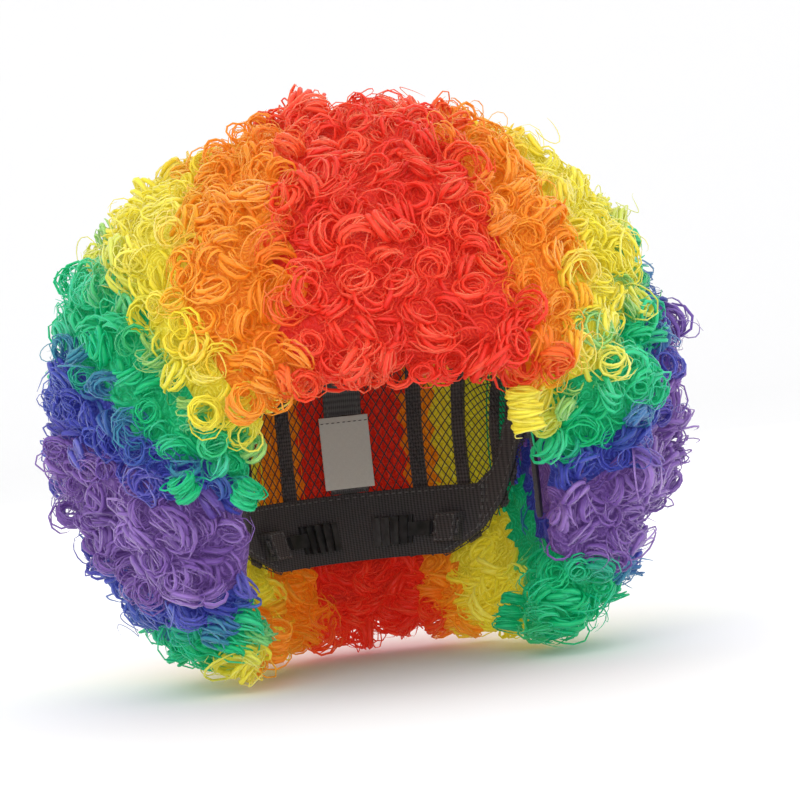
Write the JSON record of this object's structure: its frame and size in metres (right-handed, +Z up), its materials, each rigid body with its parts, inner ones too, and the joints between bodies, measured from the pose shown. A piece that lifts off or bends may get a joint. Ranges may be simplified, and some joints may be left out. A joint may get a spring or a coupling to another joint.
{
  "type": "costume wig",
  "caption": "Round curly costume wig in rainbow bands, on an elastic net cap with nape adjusters, ear tabs and a blank label.",
  "frame": {"origin": "below the middle of the object's box, on the surface that the wig stands on", "axes": "the wearer faces -Y, +X is the wearer's left, +Z is up"},
  "size_m": [0.32, 0.3087, 0.283],
  "materials": {
    "hair_red": "satin",
    "hair_orange": "satin",
    "hair_yellow": "satin",
    "hair_green": "satin",
    "hair_blue": "satin",
    "hair_purple": "satin",
    "cap_net": "matte",
    "elastic": "matte",
    "ribbon": "matte",
    "weft_tape": "matte",
    "tab_cloth": "matte",
    "plastic": "satin",
    "label_cloth": "matte"
  },
  "bodies": {
    "cap_and_hair": {"crown_net": "cap_net", "front_band": "elastic", "nape_band": "elastic", "side_band_left": "elastic", "side_band_right": "elastic", "centre_ribbon": "ribbon", "cross_ribbon_left": "ribbon", "cross_ribbon_right": "ribbon", "weft_purple_left": "weft_tape", "weft_blue_left": "weft_tape", "weft_green_left": "weft_tape", "weft_yellow_left": "weft_tape", "weft_orange_left": "weft_tape", "weft_purple_right": "weft_tape", "weft_blue_right": "weft_tape", "weft_green_right": "weft_tape", "weft_yellow_right": "weft_tape", "weft_orange_right": "weft_tape", "weft_red_crown": "weft_tape", "hair_purple_left": "hair_purple", "hair_blue_left": "hair_blue", "hair_green_left": "hair_green", "hair_yellow_left": "hair_yellow", "hair_orange_left": "hair_orange", "hair_purple_right": "hair_purple", "hair_blue_right": "hair_blue", "hair_green_right": "hair_green", "hair_yellow_right": "hair_yellow", "hair_orange_right": "hair_orange", "hair_red_crown": "hair_red", "hook_ladder_left": "plastic", "strap_casing_left": "elastic", "hook_ladder_right": "plastic", "strap_casing_right": "elastic"},
    "adjuster_left": {"adjuster_strap_left": "elastic", "adjuster_hook_left": "plastic"},
    "ear_tab_left_body": {"ear_tab_left": "tab_cloth"},
    "adjuster_right": {"adjuster_strap_right": "elastic", "adjuster_hook_right": "plastic"},
    "ear_tab_right_body": {"ear_tab_right": "tab_cloth"},
    "label_body": {"care_label": "label_cloth"}
  },
  "joints": [
    {"name": "adjuster_left_travel", "type": "hinge", "parent": "cap_and_hair", "child": "adjuster_left", "pos_m": [0, 0.025, 0.062], "axis": [0, 0, 1], "range_deg": [0, 10]},
    {"name": "ear_tab_left_flex", "type": "hinge", "parent": "cap_and_hair", "child": "ear_tab_left_body", "pos_m": [0.07345, -0.042, 0.098], "axis": [0.2588, 0.9659, 0], "range_deg": [0, 35]},
    {"name": "adjuster_right_travel", "type": "hinge", "parent": "cap_and_hair", "child": "adjuster_right", "pos_m": [0, 0.025, 0.062], "axis": [0, 0, -1], "range_deg": [0, 10]},
    {"name": "ear_tab_right_flex", "type": "hinge", "parent": "cap_and_hair", "child": "ear_tab_right_body", "pos_m": [-0.07345, -0.042, 0.098], "axis": [0.2588, -0.9659, 0], "range_deg": [0, 35]},
    {"name": "care_label_flip", "type": "hinge", "parent": "cap_and_hair", "child": "label_body", "pos_m": [0, 0.085, 0.124], "axis": [-1, 0, 0], "range_deg": [0, 120]}
  ]
}
